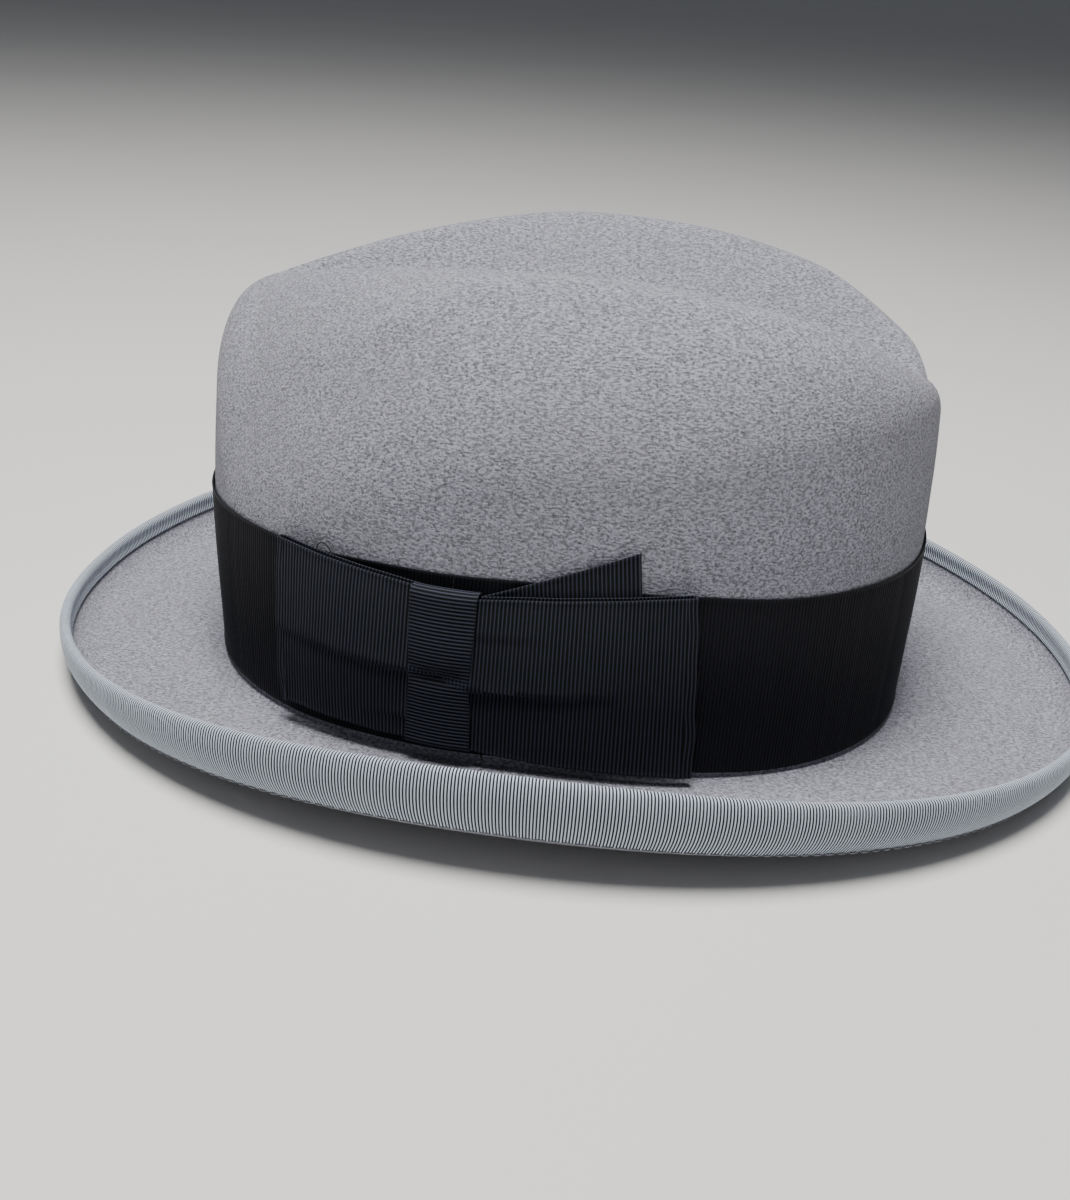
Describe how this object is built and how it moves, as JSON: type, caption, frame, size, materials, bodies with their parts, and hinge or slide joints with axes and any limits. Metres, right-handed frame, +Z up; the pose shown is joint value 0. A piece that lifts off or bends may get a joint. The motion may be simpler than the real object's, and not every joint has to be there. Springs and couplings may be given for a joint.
{
  "type": "homburg hat",
  "caption": "Grey felt homburg with a centre-creased crown, curled brim bound in grosgrain, dark ribbon band and side bow.",
  "frame": {"origin": "middle of the brim's outline, on the surface that the hat rests on", "axes": "+Z up through the crown; the front of the hat faces -Y, and the bow is on the wearer's left, +X"},
  "size_m": [0.2498, 0.3138, 0.1264],
  "materials": {
    "felt": "short soft fur nap",
    "binding": "ribbed grosgrain",
    "band_ribbon": "ribbed grosgrain",
    "thread_grey": "twisted thread",
    "thread_navy": "twisted thread",
    "leather": "smooth semi-matt",
    "reed": "translucent",
    "tape": "plain weave",
    "paper": "matt card",
    "lining": "satin",
    "film": "clear"
  },
  "bodies": {
    "root": {"felt_body": "felt", "brim_binding": "binding", "binding_thread": "thread_grey", "hatband": "band_ribbon", "hatband_tack_rear": "thread_navy", "hatband_tack_right": "thread_navy", "hatband_tack_front": "thread_navy", "bow_backing": "band_ribbon", "bow_tail": "band_ribbon", "bow_front_loop": "band_ribbon", "bow_rear_loop": "band_ribbon", "bow_knot": "band_ribbon", "loose_thread_loop": "thread_navy", "loose_thread_end": "thread_navy", "sweatband": "leather", "sweatband_reed": "reed", "reed_tape": "tape", "sweatband_thread": "thread_grey", "sweatband_seam_tape": "tape", "size_label": "paper", "sweatband_bow": "band_ribbon", "lining_side": "lining", "lining_tip": "lining", "tip_guard": "film"}
  },
  "joints": []
}
